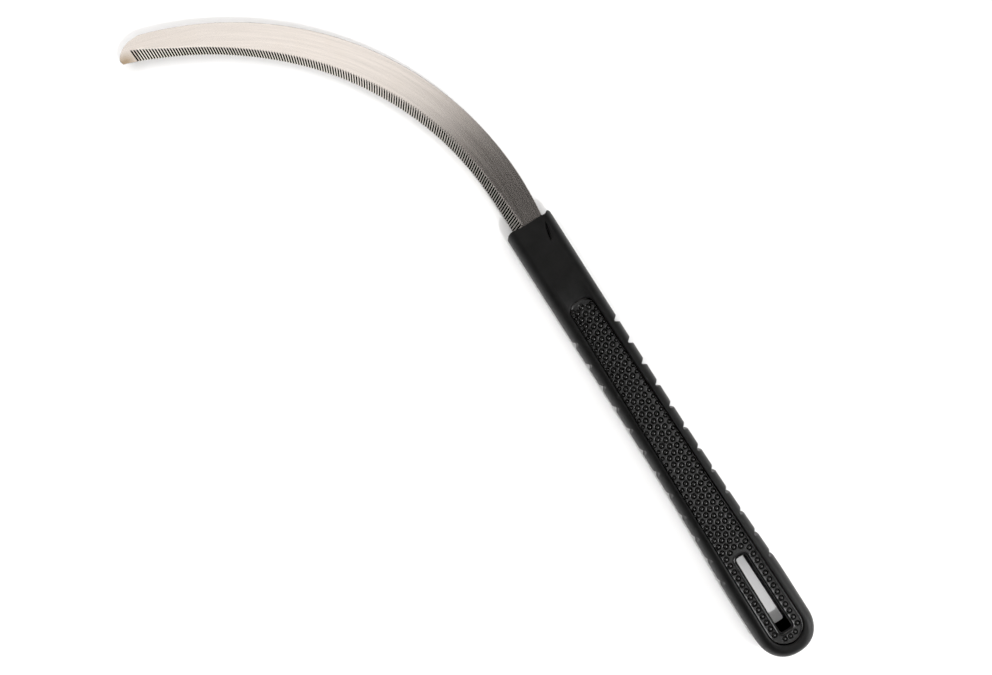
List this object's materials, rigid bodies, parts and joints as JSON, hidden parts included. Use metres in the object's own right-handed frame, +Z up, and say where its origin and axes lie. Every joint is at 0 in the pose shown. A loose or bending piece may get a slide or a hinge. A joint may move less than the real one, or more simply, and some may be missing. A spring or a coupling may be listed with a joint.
{
  "type": "hand sickle",
  "caption": "Serrated hand sickle: curved toothed steel blade with a tang riveted in a notched two-shell handle that has pebbled grip inlays and a hanging slot.",
  "frame": {"origin": "centre of the flat underside of the handle's neck, on the handle's axis, 20 mm back from the mouth where the blade leaves the handle", "axes": "+X runs along the handle from the butt towards the blade, +Y is the cutting side (the inside of the blade's curve), +Z is up when the tool lies on its back face with the toothed bevel up"},
  "size_m": [0.4052, 0.1333, 0.017],
  "materials": {
    "blade_steel": "satin, brushed lengthwise",
    "handle_plastic": "matte moulded black",
    "grip_inlay": "semi-gloss pebbled black",
    "rivet_steel": "plain zinc-grey steel"
  },
  "bodies": {
    "root": {"blade": "blade_steel", "handle_front_shell": "handle_plastic", "handle_back_shell": "handle_plastic", "front_grip_inlay": "grip_inlay", "back_grip_inlay": "grip_inlay", "tang_rivet_1": "rivet_steel", "tang_rivet_2": "rivet_steel", "tang_rivet_3": "rivet_steel"}
  },
  "joints": []
}
